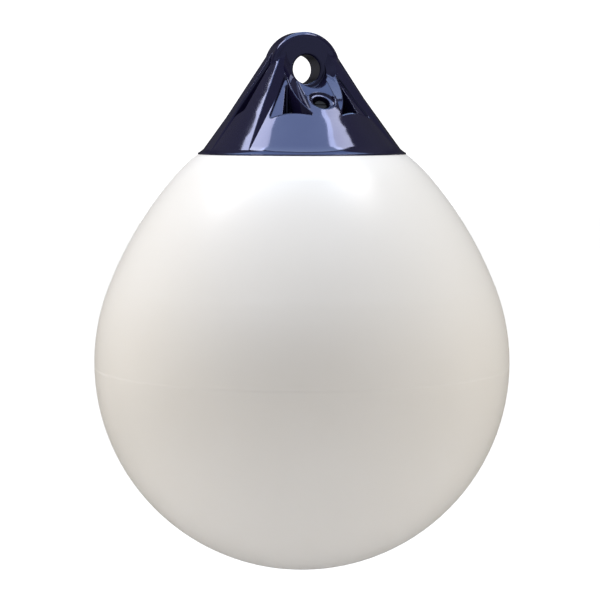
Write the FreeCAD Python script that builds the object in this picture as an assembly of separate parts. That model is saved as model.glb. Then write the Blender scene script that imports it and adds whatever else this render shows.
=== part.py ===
import FreeCAD, Part
import math
import os

# Ball fender: a hollow soft vinyl ball under a solid moulded rope hold.
# Lengths are millimetres and angles are degrees.
# The origin is the centre of the rope eye, +Z is up and the eye's bore runs along Y.
# The valve is on the -Y side.

# The ball, a sphere that runs into a straighter shoulder and then a rounder neck
ball_radius = 195.0
shoulder_radius = 358.0
neck_radius = 148.0
shoulder_start_angle = 21.3
neck_start_angle = 40.7
skin_wall = 3.0
crown_wall = 5.0
crown_rise = 6.0

# The skirt of the rope hold, a cone that splays a little at its edge
hold_radius = 97.3
eye_height = 78.6
skirt_angle = 40.2
flare_height = 8.0
flare_depth = 1.5
edge_land = 1.2
lip_wall = 4.0
lip_height = 8.5
web_top_drop = 4.0

# The head around the eye, and the rib that runs down from it on both sides
head_radius = 34.6
head_half_width = 13.4
head_edge_radius = 5.5
head_blend_radius = 10.0
eye_radius = 13.4
eye_rim_radius = 2.2
rib_angle = 34.3
rib_half_width = 6.6
rib_draft = 2.9
rib_edge_radius = 1.5

# The four buttresses, which are one steeper cone trimmed by sloping facets
buttress_radius = 38.5
buttress_angle = 36.0
buttress_top = 18.0
facet_azimuth = 12.7
facet_elevation = 31.4
facet_distance = 22.3
crest_radius = 3.0

# The deep pocket on each side of the two webs, and the ramp that slopes beside it
pocket_floor_drop = 58.0
pocket_wall_azimuth = 26.0
pocket_wall_distance = 63.5
pocket_side_azimuth = 37.1
ramp_side_azimuth = 47.5
ramp_azimuth = 30.0
ramp_elevation = 39.5
ramp_distance = 19.7
web_half_width = 24.7
web_arc_radius = 47.0
web_arc_distance = 32.0
pocket_inner_radius = 1.6
pocket_tip_radius = 1.0
pocket_corner_radius = 2.5
floor_edge_radius = 2.0

# The narrow trench between each buttress and the rib
trench_start = 33.0
trench_start_width = 7.5
trench_side_angle = 19.8
trench_wall_azimuth = 54.5
trench_wall_distance = 62.4
trench_corner_radius = 2.5

# The scoop that leads the line into the eye
scoop_radius = 43.7
scoop_reach = 52.0
scoop_rise = 16.7
scoop_floor_elevation = 54.0
scoop_floor_distance = 6.9
seat_radius = 17.8
seat_corner_radius = 0.8

# The two wings of each web, hollows that fall from its rims to the boss of the valve
wing_radius = 158.0
wing_azimuth = 27.3
wing_elevation = 50.3
wing_rim = (22.0, 45.0, -26.2)
wing_start = 22.3
boss_half_width = 14.5

# The valve, set in a dish in the front web
valve_drop = 27.5
valve_elevation = 47.0
dish_radius = 12.2
dish_depth = 5.0
dish_corner_radius = 2.5
well_depth = 8.0
well_clearance = 0.3
bush_flange_radius = 7.9
bush_flange_height = 2.0
bush_radius = 5.5
bush_length = 18.0
screw_head_radius = 5.2
screw_head_height = 2.4
screw_radius = 3.2
screw_length = 13.0
slot_width = 1.4
slot_depth = 1.3
seal_height = 1.0
seal_radius = 4.8
thread_clearance = 0.12
air_radius = 2.5

origin = FreeCAD.Vector(0, 0, 0)
across = FreeCAD.Vector(1, 0, 0)
bore_axis = FreeCAD.Vector(0, 1, 0)
up = FreeCAD.Vector(0, 0, 1)
far = 300.0
tolerance = 0.01


def sin(angle):
    return math.sin(math.radians(angle))


def cos(angle):
    return math.cos(math.radians(angle))


def tan(angle):
    return math.tan(math.radians(angle))


# Outlines are drawn as pairs and placed in one of three planes
def profile(point):
    """A radius and a height, for what turns about the upright axis."""
    return FreeCAD.Vector(point[0], 0, point[1])


def plan(point):
    """A place seen from above."""
    return FreeCAD.Vector(point[0], point[1], 0)


def along_bore(point):
    """A radius and a distance, for what turns about the eye's bore."""
    return FreeCAD.Vector(point[0], point[1], 0)


def line(place, start, end):
    return Part.makeLine(place(start), place(end))


def arc(place, start, middle, end):
    return Part.Arc(place(start), place(middle), place(end)).toShape()


def arc_about(place, centre, radius, start_angle, end_angle):
    points = []
    for angle in (start_angle, (start_angle + end_angle) / 2, end_angle):
        points.append((centre[0] + radius * cos(angle), centre[1] + radius * sin(angle)))
    return arc(place, *points)


def tangent_arc(place, start, heading, end):
    """The arc that leaves start at the heading's angle and arrives at end."""
    run = (end[0] - start[0], end[1] - start[1])
    half_turn = math.degrees(math.atan2(run[1], run[0])) - heading
    bulge = tan(half_turn / 2) / 2
    middle = (
        (start[0] + end[0]) / 2 + bulge * run[1],
        (start[1] + end[1]) / 2 - bulge * run[0],
    )
    return arc(place, start, middle, end)


def turned(edges, axis):
    face = Part.Face(Part.Wire(Part.__sortEdges__(edges)))
    return face.revolve(origin, axis, 360)


def plan_prism(edges, low, high):
    face = Part.Face(Part.Wire(Part.__sortEdges__(edges)))
    face.translate(FreeCAD.Vector(0, 0, low))
    return face.extrude(FreeCAD.Vector(0, 0, high - low))


def in_four_quarters(solid):
    """The solid with its mirror images on the other side, behind, and both."""
    pair = [solid, solid.mirror(origin, across)]
    return pair + [piece.mirror(origin, bore_axis) for piece in pair]


def front_and_back(solid):
    return [solid, solid.mirror(origin, bore_axis)]


def rounded_corner(solid, place, radius):
    """The solid with the upright edge that stands at a place in plan rounded."""
    corners = []
    for edge in solid.Edges:
        if all(plan(vertex.Point - plan(place)).Length < tolerance for vertex in edge.Vertexes):
            corners.append(edge)
    return solid.makeFillet(radius, corners)


def rounded_floor(solid, level):
    """The solid with the edges that lie at a level rounded."""
    rim = []
    for edge in solid.Edges:
        if all(abs(vertex.Point.z - level) < tolerance for vertex in edge.Vertexes):
            rim.append(edge)
    return solid.makeFillet(floor_edge_radius, rim)


# The levels and radii that follow from the sizes above
edge_level = -eye_height


def skirt_radius_at(level):
    return hold_radius - flare_depth - tan(skirt_angle) * (level - edge_level)


def buttress_radius_at(level):
    return buttress_radius - tan(buttress_angle) * level


# The arcs of the ball are placed upwards from the edge of the rope hold
def arc_centres():
    neck_x = (ball_radius - shoulder_radius) * cos(shoulder_start_angle)
    neck_x += (shoulder_radius - neck_radius) * cos(neck_start_angle)
    end_angle = math.degrees(math.acos((hold_radius - neck_x) / neck_radius))
    neck_z = edge_level - neck_radius * sin(end_angle)
    shoulder_x = (ball_radius - shoulder_radius) * cos(shoulder_start_angle)
    shoulder_z = neck_z - (shoulder_radius - neck_radius) * sin(neck_start_angle)
    ball_z = shoulder_z + (shoulder_radius - ball_radius) * sin(shoulder_start_angle)
    return (0.0, ball_z), (shoulder_x, shoulder_z), (neck_x, neck_z), end_angle


ball_centre, shoulder_centre, neck_centre, neck_end_angle = arc_centres()

# The crown of the ball fills the hollow underside of the rope hold
ledge_radius = skirt_radius_at(edge_level) - lip_wall / cos(skirt_angle)
crown_edge_radius = ledge_radius - tan(skirt_angle) * lip_height
crown_edge_level = edge_level + lip_height
crown_level = crown_edge_level + crown_rise
crown_sphere = (crown_edge_radius ** 2 + crown_rise ** 2) / (2 * crown_rise)
crown_centre = (0.0, crown_level - crown_sphere)


def crown_edge(depth):
    """The rim of the dome that lies the given depth under the crown."""
    reach = crown_edge_radius - depth
    level = crown_centre[1] + math.sqrt((crown_sphere - depth) ** 2 - reach ** 2)
    return reach, level


def crown_arc(depth):
    angle = math.degrees(math.acos((crown_edge_radius - depth) / (crown_sphere - depth)))
    return arc_about(profile, crown_centre, crown_sphere - depth, angle, 90.0)


# The valve lies on a line that slopes up and out through the front web
valve_out = FreeCAD.Vector(0, -cos(valve_elevation), sin(valve_elevation))
valve_mouth = FreeCAD.Vector(0, -skirt_radius_at(-valve_drop), -valve_drop)
seat_depth = dish_depth + well_depth
bush_end_depth = seat_depth + bush_length
air_end_depth = (crown_edge_level - 2 * crown_wall + valve_drop) / -sin(valve_elevation)


def on_valve(radius, from_depth, to_depth):
    """A cylinder on the valve's line between two depths below the skirt."""
    low = max(from_depth, to_depth)
    high = min(from_depth, to_depth)
    return Part.makeCylinder(radius, low - high, valve_mouth - valve_out * low, valve_out)


def ball_body():
    """The hollow skin, thicker at its crown, with the air hole under the valve."""
    neck_inside = (
        neck_centre[0] + (neck_radius - skin_wall) * cos(neck_start_angle),
        neck_centre[1] + (neck_radius - skin_wall) * sin(neck_start_angle),
    )
    bottom = ball_centre[1] - ball_radius
    edges = [
        arc_about(profile, ball_centre, ball_radius, -90.0, shoulder_start_angle),
        arc_about(profile, shoulder_centre, shoulder_radius, shoulder_start_angle, neck_start_angle),
        arc_about(profile, neck_centre, neck_radius, neck_start_angle, neck_end_angle),
        line(profile, (hold_radius, edge_level), (ledge_radius, edge_level)),
        line(profile, (ledge_radius, edge_level), crown_edge(0.0)),
        crown_arc(0.0),
        line(profile, (0.0, crown_level), (0.0, crown_level - crown_wall)),
        crown_arc(crown_wall),
        tangent_arc(profile, neck_inside, neck_start_angle + 90.0, crown_edge(crown_wall)),
        arc_about(
            profile, shoulder_centre, shoulder_radius - skin_wall, shoulder_start_angle, neck_start_angle
        ),
        arc_about(profile, ball_centre, ball_radius - skin_wall, -90.0, shoulder_start_angle),
        line(profile, (0.0, bottom), (0.0, bottom + skin_wall)),
    ]
    skin = turned(edges, up)
    return skin.cut(on_valve(air_radius, bush_end_depth, air_end_depth))


def crown_space():
    """The hollow underside of the rope hold, which the crown of the ball fills."""
    edges = [
        line(profile, (0.0, edge_level), (ledge_radius, edge_level)),
        line(profile, (ledge_radius, edge_level), crown_edge(0.0)),
        crown_arc(0.0),
        line(profile, (0.0, crown_level), (0.0, edge_level)),
    ]
    return turned(edges, up)


def skirt():
    flare_level = edge_level + flare_height
    flare_start = (skirt_radius_at(flare_level), flare_level)
    land_top = (hold_radius, edge_level + edge_land)
    top = (skirt_radius_at(-web_top_drop), -web_top_drop)
    edges = [
        line(profile, (0.0, edge_level), (hold_radius, edge_level)),
        line(profile, (hold_radius, edge_level), land_top),
        tangent_arc(profile, flare_start, skirt_angle - 90.0, land_top),
        line(profile, flare_start, top),
        line(profile, top, (0.0, -web_top_drop)),
        line(profile, (0.0, -web_top_drop), (0.0, edge_level)),
    ]
    return turned(edges, up)


def direction(azimuth, elevation):
    """The direction at an angle from +Y towards +X, and at an angle up."""
    return FreeCAD.Vector(
        sin(azimuth) * cos(elevation), cos(azimuth) * cos(elevation), sin(elevation)
    )


def beyond_plane(normal, distance):
    """All that lies outside a sloping plane at a distance from the origin."""
    block = Part.makeBox(2 * far, 2 * far, far, FreeCAD.Vector(-far, -far, 0))
    block.Placement = FreeCAD.Placement(normal * distance, FreeCAD.Rotation(up, normal))
    return block


def buttresses():
    cone = Part.makeCone(
        buttress_radius_at(edge_level),
        buttress_radius_at(buttress_top),
        buttress_top - edge_level,
        FreeCAD.Vector(0, 0, edge_level),
    )
    facet = beyond_plane(direction(facet_azimuth, facet_elevation), facet_distance)
    body = cone.cut(in_four_quarters(facet))
    crests = []
    for edge in body.Edges:
        middle = edge.valueAt((edge.FirstParameter + edge.LastParameter) / 2)
        on_cone = abs(plan(middle).Length - buttress_radius_at(middle.z)) < tolerance
        at_an_end = min(middle.z - edge_level, buttress_top - middle.z) < tolerance
        between_facets = abs(middle.x) < tolerance
        if on_cone and not at_an_end and not between_facets:
            crests.append(edge)
    return body.makeFillet(crest_radius, crests)


def shoulders():
    """The head on its buttresses, with the corner between its side and theirs filled."""
    body = buttresses().fuse(head()).removeSplitter()
    corners = []
    for edge in body.Edges:
        middle = edge.valueAt((edge.FirstParameter + edge.LastParameter) / 2)
        on_cone = abs(plan(middle).Length - buttress_radius_at(middle.z)) < tolerance
        in_head = math.hypot(middle.x, middle.z) < head_radius + tolerance
        if on_cone and in_head and abs(middle.y) < head_half_width - tolerance:
            corners.append(edge)
    return body.makeFillet(head_blend_radius, corners)


def pocket_prism(outer_azimuth):
    """An upright space beside the web, which widens to an angle at its outer wall."""
    centre = (web_half_width - web_arc_radius, web_arc_distance)
    wall_normal = (sin(pocket_wall_azimuth), cos(pocket_wall_azimuth))
    wall_along = (cos(pocket_wall_azimuth), -sin(pocket_wall_azimuth))
    side_along = (sin(ramp_side_azimuth), cos(ramp_side_azimuth))

    def meets_arc(start, along, way):
        gap = (start[0] - centre[0], start[1] - centre[1])
        middle = -(gap[0] * along[0] + gap[1] * along[1])
        half = math.sqrt(middle ** 2 - gap[0] ** 2 - gap[1] ** 2 + web_arc_radius ** 2)
        reach = middle + way * half
        return start[0] + reach * along[0], start[1] + reach * along[1]

    wall_foot = (pocket_wall_distance * wall_normal[0], pocket_wall_distance * wall_normal[1])
    inner = meets_arc((0.0, 0.0), side_along, 1)
    front = meets_arc(wall_foot, wall_along, 1)
    reach = pocket_wall_distance / cos(outer_azimuth - pocket_wall_azimuth)
    outer = (reach * sin(outer_azimuth), reach * cos(outer_azimuth))
    angles = [math.degrees(math.atan2(end[1] - centre[1], end[0] - centre[0])) for end in (inner, front)]
    edges = [
        arc_about(plan, centre, web_arc_radius, *angles),
        line(plan, front, outer),
        line(plan, outer, inner),
    ]
    space = plan_prism(edges, -pocket_floor_drop, far)
    space = rounded_corner(space, inner, pocket_inner_radius)
    space = rounded_corner(space, front, pocket_tip_radius)
    return rounded_corner(space, outer, pocket_corner_radius)


def pocket():
    """The space of the pocket and its ramp in the quarter where X and Y are positive."""
    above_ramp = beyond_plane(direction(ramp_azimuth, ramp_elevation), ramp_distance)
    ramp = pocket_prism(ramp_side_azimuth).common(above_ramp)
    hole = rounded_floor(pocket_prism(pocket_side_azimuth), -pocket_floor_drop)
    return ramp.fuse(hole)


def trench():
    """The space of the trench in the quarter where X and Y are positive."""
    wall_normal = (sin(trench_wall_azimuth), cos(trench_wall_azimuth))
    side_along = (cos(trench_side_angle), sin(trench_side_angle))
    start = (trench_start, trench_start_width)
    gap = trench_wall_distance - start[0] * wall_normal[0] - start[1] * wall_normal[1]
    reach = gap / (side_along[0] * wall_normal[0] + side_along[1] * wall_normal[1])
    outer = (start[0] + reach * side_along[0], start[1] + reach * side_along[1])
    foot = (trench_wall_distance / wall_normal[0], 0.0)
    edges = [
        line(plan, (trench_start, 0.0), start),
        line(plan, start, outer),
        line(plan, outer, foot),
        line(plan, foot, (trench_start, 0.0)),
    ]
    space = plan_prism(edges, -pocket_floor_drop, far)
    space = rounded_corner(space, outer, trench_corner_radius)
    return rounded_floor(space, -pocket_floor_drop)


def eye_space():
    """The bore with its rounded rims, and the round seat in front of each face."""
    straight = head_half_width - eye_rim_radius
    rim = eye_radius + eye_rim_radius
    rim_start = (eye_radius, straight)
    rim_end = (rim, head_half_width)
    ring_end = (seat_radius - seat_corner_radius, head_half_width)
    wall_start = (seat_radius, head_half_width + seat_corner_radius)
    edges = [
        line(along_bore, (0.0, 0.0), (eye_radius, 0.0)),
        line(along_bore, (eye_radius, 0.0), rim_start),
        arc_about(along_bore, (rim, straight), eye_rim_radius, 180.0, 90.0),
        line(along_bore, rim_end, ring_end),
        arc_about(
            along_bore,
            (ring_end[0], wall_start[1]),
            seat_corner_radius,
            -90.0,
            0.0,
        ),
        line(along_bore, wall_start, (seat_radius, far)),
        line(along_bore, (seat_radius, far), (0.0, far)),
        line(along_bore, (0.0, far), (0.0, 0.0)),
    ]
    return turned(edges, bore_axis)


def scoop():
    """A ball-shaped hollow in front of the head, with a flat floor that slopes to the valve."""
    ball = Part.makeSphere(scoop_radius, FreeCAD.Vector(0, scoop_reach, scoop_rise))
    front = Part.makeBox(2 * far, far, 2 * far, FreeCAD.Vector(-far, head_half_width, -far))
    slope = direction(0.0, scoop_floor_elevation)
    return ball.common(front).common(beyond_plane(slope, scoop_floor_distance))


def wing():
    """The space over the wing in the quarter where X and Y are positive."""
    towards_centre = direction(-wing_azimuth, wing_elevation)
    ball = Part.makeSphere(wing_radius, FreeCAD.Vector(*wing_rim) + towards_centre * wing_radius)
    side = Part.makeBox(
        web_half_width - boss_half_width, far, 2 * far, FreeCAD.Vector(boss_half_width, wing_start, -far)
    )
    return ball.common(side)


def head():
    disc = Part.makeCylinder(
        head_radius, 2 * head_half_width, FreeCAD.Vector(0, -head_half_width, 0), bore_axis
    )
    rims = [edge for edge in disc.Edges if edge.Closed]
    return disc.makeFillet(head_edge_radius, rims)


def rib():
    """The plate in the plane of the eye, with drafted sides and rounded edges."""
    tangent = (head_radius * cos(rib_angle), head_radius * sin(rib_angle))
    foot_level = edge_level + 2 * edge_land
    foot = (tangent[0] + tan(rib_angle) * (tangent[1] - foot_level), foot_level)
    edges = [
        arc(profile, (-tangent[0], tangent[1]), (0.0, head_radius), tangent),
        line(profile, tangent, foot),
        line(profile, foot, (-foot[0], foot[1])),
        line(profile, (-foot[0], foot[1]), (-tangent[0], tangent[1])),
    ]
    face = Part.Face(Part.Wire(Part.__sortEdges__(edges)))
    face.translate(bore_axis * -far)
    outline = face.extrude(bore_axis * 2 * far)
    low = rib_half_width - tan(rib_draft) * foot_level
    high = rib_half_width - tan(rib_draft) * head_radius
    corners = [(-low, foot_level), (low, foot_level), (high, head_radius), (-high, head_radius)]
    points = [FreeCAD.Vector(-far, corner[0], corner[1]) for corner in corners]
    section = Part.Face(Part.makePolygon(points + points[:1]))
    plate = outline.common(section.extrude(across * 2 * far))
    long_edges = []
    for edge in plate.Edges:
        along_y = abs(edge.Vertexes[0].Y - edge.Vertexes[-1].Y) > high
        if not along_y and edge.CenterOfMass.z > foot_level + tolerance:
            long_edges.append(edge)
    return plate.makeFillet(rib_edge_radius, long_edges)


def rope_hold():
    hold = skirt().fuse(shoulders())
    hold = hold.cut(in_four_quarters(trench()) + in_four_quarters(pocket()))
    hold = hold.cut(front_and_back(scoop()) + in_four_quarters(wing()))
    hold = hold.fuse([rib(), head()])
    hold = hold.cut(front_and_back(eye_space()))
    well_radius = bush_flange_radius + well_clearance
    dish = on_valve(dish_radius, dish_depth, -dish_radius)
    rims = [edge for edge in dish.Edges if edge.Closed]
    dish_floor = min(rims, key=lambda edge: edge.CenterOfMass.z)
    valve_spaces = [
        dish.makeFillet(dish_corner_radius, [dish_floor]),
        on_valve(well_radius, dish_depth, seat_depth),
        on_valve(bush_radius, seat_depth, bush_end_depth),
        on_valve(air_radius, bush_end_depth, air_end_depth),
    ]
    return hold.cut([crown_space()] + valve_spaces)


def valve_bush():
    barrel = on_valve(bush_radius, seat_depth, bush_end_depth)
    flange = on_valve(bush_flange_radius, seat_depth - bush_flange_height, seat_depth)
    bore = on_valve(screw_radius + thread_clearance, 0.0, bush_end_depth)
    return barrel.fuse(flange).cut(bore)


def valve_screw():
    under_head = seat_depth - bush_flange_height - seal_height
    top = under_head - screw_head_height
    shank = on_valve(screw_radius, under_head, under_head + screw_length)
    crown = on_valve(screw_head_radius, top, under_head)
    slot = Part.makeBox(
        2 * far, slot_width, slot_depth, FreeCAD.Vector(-far, -slot_width / 2, -slot_depth)
    )
    slot.Placement = FreeCAD.Placement(valve_mouth - valve_out * top, FreeCAD.Rotation(up, valve_out))
    return shank.fuse(crown).cut(slot)


def valve_seal():
    under_head = seat_depth - bush_flange_height - seal_height
    ring = on_valve(seal_radius, under_head, under_head + seal_height)
    return ring.cut(on_valve(screw_radius, under_head, under_head + seal_height))


pieces = {
    "ball_body": ball_body,
    "rope_hold": rope_hold,
    "valve_bush": valve_bush,
    "valve_screw": valve_screw,
    "valve_seal": valve_seal,
}

os.makedirs("parts", exist_ok=True)
for name, make in pieces.items():
    shape = make().removeSplitter()
    print(name, shape.isValid(), len(shape.Solids), round(shape.Volume / 1000, 1), "cm3")
    shape.exportStep("parts/" + name + ".step")
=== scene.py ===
import math
import bpy
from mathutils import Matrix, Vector


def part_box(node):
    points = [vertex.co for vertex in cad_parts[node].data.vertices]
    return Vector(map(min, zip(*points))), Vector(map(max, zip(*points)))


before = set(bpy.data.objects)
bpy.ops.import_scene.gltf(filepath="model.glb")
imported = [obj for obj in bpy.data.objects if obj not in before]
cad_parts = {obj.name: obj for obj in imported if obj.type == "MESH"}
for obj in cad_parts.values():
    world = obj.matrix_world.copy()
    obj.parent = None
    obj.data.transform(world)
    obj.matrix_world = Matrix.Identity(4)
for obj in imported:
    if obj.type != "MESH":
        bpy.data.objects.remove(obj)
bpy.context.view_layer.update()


# The ball
# A pear-shaped skin of soft white vinyl, cast in a closed turning mould and blown up hard.
# The halves of the mould leave a fine step at the widest part, and the skin is a little uneven.
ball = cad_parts["ball_body"]
ball_low, ball_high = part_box("ball_body")
ball_radius = (ball_high.x - ball_low.x) / 2
seam_below_centre = 0.0032
seam_level = ball_low.z + ball_radius - seam_below_centre
seam_width = 0.0018
seam_height = -0.0008
cloud_height = 0.0006
grain_height = 0.000004


class Wire:
    """One output of a material's node. Sums and products of wires add their Math nodes."""

    def __init__(self, tree, socket=None):
        self.tree = tree
        self.socket = socket

    def node(self, kind, settings, inputs, output=0):
        """Adds a node, sets its settings, feeds its inputs and gives one of its outputs."""
        made = self.tree.nodes.new(kind)
        for name, value in settings.items():
            setattr(made, name, value)
        for name, value in inputs.items():
            if isinstance(value, Wire):
                self.tree.links.new(value.socket, made.inputs[name])
            else:
                made.inputs[name].default_value = value
        return Wire(self.tree, made.outputs[output])

    def maths(self, operation, *terms):
        return self.node("ShaderNodeMath", {"operation": operation}, dict(enumerate(terms)))

    def __add__(self, other):
        return self.maths("ADD", self, other)

    def __sub__(self, other):
        return self.maths("SUBTRACT", self, other)

    def __rsub__(self, other):
        return self.maths("SUBTRACT", other, self)

    def __mul__(self, other):
        return self.maths("MULTIPLY", self, other)

    def __truediv__(self, other):
        return self.maths("DIVIDE", self, other)

    def __abs__(self):
        return self.maths("ABSOLUTE", self)

    def clamped(self):
        return self.node("ShaderNodeClamp", {}, {"Value": self})

    __radd__ = __add__
    __rmul__ = __mul__


def finish_of(name, settings):
    """A new material with its fixed values set: its shader and a wire to build on."""
    material = bpy.data.materials.new(name)
    material.use_nodes = True
    shader = material.node_tree.nodes["Principled BSDF"]
    for socket, value in settings.items():
        shader.inputs[socket].default_value = value
    return material, shader, Wire(material.node_tree)


def feed(shader, socket, wire):
    wire.tree.links.new(wire.socket, shader.inputs[socket])


def dressed(piece, material):
    """Puts one material on a piece, in place of the plain ones it came with."""
    piece.data.materials.clear()
    piece.data.materials.append(material)


def noise(place, scale, detail):
    """A cloudy wire around 0.5, with the given number of clouds in a metre."""
    return place.node("ShaderNodeTexNoise", {}, {"Vector": place, "Scale": scale, "Detail": detail})


def colour_between(factor, low, high):
    """A colour that runs from one to another as a wire runs from 0 to 1."""
    ends = {"Factor": factor, "A": low, "B": high}
    return factor.node("ShaderNodeMix", {"data_type": "RGBA"}, ends, "Result")


def varied(wire, least, spread):
    """A value that a noise moves up from its least, by up to a spread."""
    return wire * spread + least


def relief(height, **more):
    """A bump of a height in metres, to feed a shader's Normal."""
    inputs = {"Height": height, "Strength": 1.0, "Distance": 1.0, **more}
    return height.node("ShaderNodeBump", {}, inputs)


white_vinyl, shader, start = finish_of("white_vinyl", {"IOR": 1.5, "Metallic": 0.0})
place = start.node("ShaderNodeTexCoord", {}, {}, "Object")
height = start.node("ShaderNodeSeparateXYZ", {}, {"Vector": place}, "Z")
cloud = noise(place, scale=9.0, detail=2.0)
grain = noise(place, scale=900.0, detail=1.0)
step = ((height - seam_level) / seam_width).clamped()
skin = relief(step * cloud * seam_height + cloud * cloud_height + grain * grain_height)
tint = colour_between(cloud, low=(0.86, 0.815, 0.765, 1), high=(0.895, 0.855, 0.815, 1))
feed(shader, "Base Color", tint)
feed(shader, "Roughness", varied(cloud, least=0.27, spread=0.06))
feed(shader, "Normal", skin)
dressed(ball, white_vinyl)


# The rope hold
# One solid injection moulding of navy vinyl, welded to the crown of the ball.
# Its polished mould leaves it glossy and a little wavy, with softened edges on its two webs.
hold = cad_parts["rope_hold"]
valve_mouth = Vector((0, -0.0526, -0.0275))
sink_reach = 0.07
shrink_height = 0.0005
ripple_height = 0.0007
web_slope = 1.15
web_border = 0.001
edge_radius = 0.0018
navy_vinyl, shader, start = finish_of(
    "navy_vinyl", {"IOR": 1.54, "Metallic": 0.0, "Specular Tint": (0.52, 0.58, 1.0, 1.0)}
)
place = start.node("ShaderNodeTexCoord", {}, {}, "Object")
shrink = noise(place, scale=22.0, detail=1.0)
dust = noise(place, scale=260.0, detail=3.0)
ripple = noise(place, scale=60.0, detail=0.0)
from_valve = start.node(
    "ShaderNodeVectorMath", {"operation": "DISTANCE"}, {0: place, 1: valve_mouth}, "Value"
)
sink = (1 - from_valve / sink_reach).clamped()
depth = start.node("ShaderNodeSeparateXYZ", {}, {"Vector": place}, "Y")
width = start.node("ShaderNodeSeparateXYZ", {}, {"Vector": place}, "X")
near_web = ((abs(depth) * web_slope - abs(width)) / web_border).clamped()
worn_edge = start.node("ShaderNodeBevel", {"samples": 8}, {"Radius": near_web * edge_radius})
waves = relief(shrink * shrink_height + ripple * sink * ripple_height, Normal=worn_edge)
tint = colour_between(shrink, low=(0.006, 0.005, 0.020, 1), high=(0.009, 0.007, 0.026, 1))
feed(shader, "Base Color", tint)
feed(shader, "Roughness", varied(dust, least=0.06, spread=0.05))
feed(shader, "Normal", waves)
dressed(hold, navy_vinyl)


# The valve
# A black plastic bush with a flange, moulded into the front web, closed by a slotted screw.
# The screw presses a soft ring on the flange, deep in the dish.
black_plastic, shader, start = finish_of(
    "black_plastic", {"IOR": 1.5, "Metallic": 0.0, "Specular IOR Level": 0.12}
)
place = start.node("ShaderNodeTexCoord", {}, {}, "Object")
grain = noise(place, scale=1500.0, detail=2.0)
tint = colour_between(grain, low=(0.006, 0.006, 0.008, 1), high=(0.012, 0.012, 0.015, 1))
feed(shader, "Base Color", tint)
feed(shader, "Roughness", varied(grain, least=0.5, spread=0.2))
for name in ("valve_bush", "valve_screw", "valve_seal"):
    dressed(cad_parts[name], black_plastic)


# The studio
# The fender hangs by its eye over a pale floor, with only a dim wall on the camera's side.
# Two soft boxes hang left and right, bluish panels between and behind them, and fills beside it.
azimuth = math.radians(-21.0)
elevation = math.radians(5.187)
distance = 1.8772
aim_level = -0.2156
aside = 0.0018
to_camera = Vector((math.sin(azimuth), -math.cos(azimuth), 0))
to_right = Vector((math.cos(azimuth), math.sin(azimuth), 0))
upward = Vector((0, 0, 1))
aim = upward * aim_level - to_right * aside


def pointed_at(thing, target):
    """Turns a camera or a lamp, which look along their own -Z, to a place."""
    thing.rotation_euler = (target - thing.location).to_track_quat("-Z", "Y").to_euler()


camera_data = bpy.data.cameras.new("camera")
camera_data.sensor_width = 36.0
camera_data.lens = 119.64
camera_data.clip_end = 100.0
camera = bpy.data.objects.new("camera", camera_data)
bpy.context.scene.collection.objects.link(camera)
camera.location = aim + distance * (to_camera * math.cos(elevation) + upward * math.sin(elevation))
pointed_at(camera, aim)
bpy.context.scene.camera = camera

power_per_area = 4


def soft_light(name, place, size, radiance, colour):
    """A rectangular lamp at a place given towards the camera, to the right and up."""
    lamp = bpy.data.lights.new(name, "AREA")
    lamp.shape = "RECTANGLE"
    lamp.size = size[0]
    lamp.size_y = size[1]
    lamp.energy = radiance * power_per_area * size[0] * size[1]
    lamp.color = colour
    holder = bpy.data.objects.new(name, lamp)
    bpy.context.scene.collection.objects.link(holder)
    holder.location = to_camera * place[0] + to_right * place[1] + upward * place[2]
    pointed_at(holder, Vector((0, 0, 0)))
    holder.visible_camera = False
    return holder


soft_light("left_soft_box", (-0.17, -0.83, 1.24), (0.58, 0.54), 9.4, (0.97, 0.97, 1))
soft_light("right_soft_box", (0.035, 0.72, 1.30), (0.45, 0.4), 7.9, (1, 0.985, 0.98))
soft_light("ceiling_panel", (0.08, 0.0, 1.40), (1.34, 0.74), 3.9, (0.65, 0.8, 1))
rear_panel = soft_light("rear_panel", (-1.1, 0.0, 1.44), (1.4, 1.4), 2.0, (0.42, 0.6, 1))
rear_panel.visible_diffuse = False
for name, side in (("left_fill", -1), ("right_fill", 1)):
    fill = soft_light(name, (0.0, side * 2.4, 0.2), (2.4, 2.0), 1.2, (1, 0.95, 0.82))
    fill.visible_glossy = False

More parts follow.
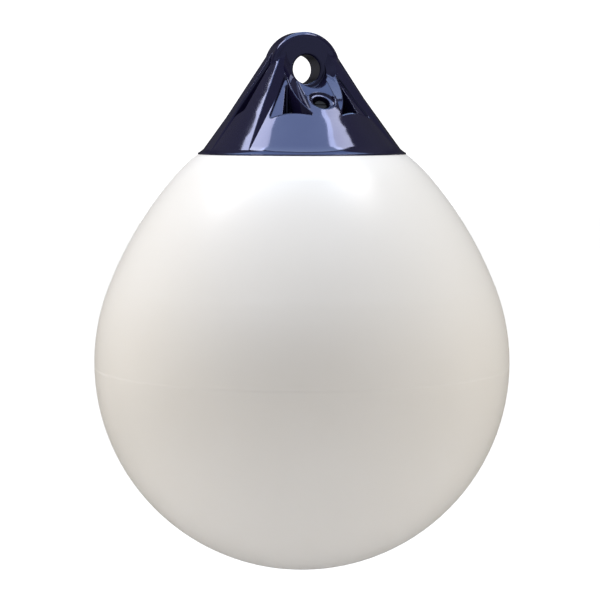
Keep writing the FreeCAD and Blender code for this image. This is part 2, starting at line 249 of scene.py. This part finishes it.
floor_level = -0.95
floor_half = 15.0
floor_glow = 0.8
floor_colour_seen = (1, 1, 1, 1)
floor_colour_cast = (0.10, 0.095, 0.09, 1)
corners = [(-1, -1), (1, -1), (1, 1), (-1, 1)]
points = [(x * floor_half, y * floor_half, floor_level) for x, y in corners]
floor_mesh = bpy.data.meshes.new("floor")
floor_mesh.from_pydata(points, [], [(0, 1, 2, 3)])
floor = bpy.data.objects.new("floor", floor_mesh)
bpy.context.scene.collection.objects.link(floor)
pale_floor, shader, start = finish_of(
    "pale_floor",
    {
        "Base Color": (0.9, 0.9, 0.9, 1),
        "Roughness": 0.9,
        "Emission Strength": floor_glow,
    },
)
seen = start.node("ShaderNodeLightPath", {}, {}, "Is Camera Ray")
glow = colour_between(seen, low=floor_colour_cast, high=floor_colour_seen)
feed(shader, "Emission Color", glow)
dressed(floor, pale_floor)
floor.visible_glossy = False

backdrop = 1.2
room_glow = 0.04
world = bpy.data.worlds.new("studio")
world.use_nodes = True
bpy.context.scene.world = world
start = Wire(world.node_tree)
facing = start.node("ShaderNodeTexCoord", {}, {}, "Generated")


def wall(side, begin, spread, radiance):
    """One dim wall of the room, which grows from nothing as a direction turns to its side."""
    turned = start.node(
        "ShaderNodeVectorMath", {"operation": "DOT_PRODUCT"}, {0: facing, 1: side}, "Value"
    )
    return ((turned - begin) / spread).clamped() * radiance


front_wall = wall(to_camera, begin=0.3, spread=0.3, radiance=0.42)
left_wall = wall(-to_right, begin=0.3, spread=0.4, radiance=0.16)
right_wall = wall(to_right, begin=0.3, spread=0.4, radiance=0.14)
ceiling = wall(upward, begin=0.5, spread=0.3, radiance=0.12)
room = front_wall + left_wall + right_wall + ceiling + room_glow
seen = start.node("ShaderNodeLightPath", {}, {}, "Is Camera Ray")
background = world.node_tree.nodes["Background"]
background.inputs["Color"].default_value = (1, 1, 1, 1)
feed(background, "Strength", seen * backdrop + (1 - seen) * room)

bpy.context.scene.view_settings.view_transform = "Standard"
bpy.context.scene.view_settings.look = "None"
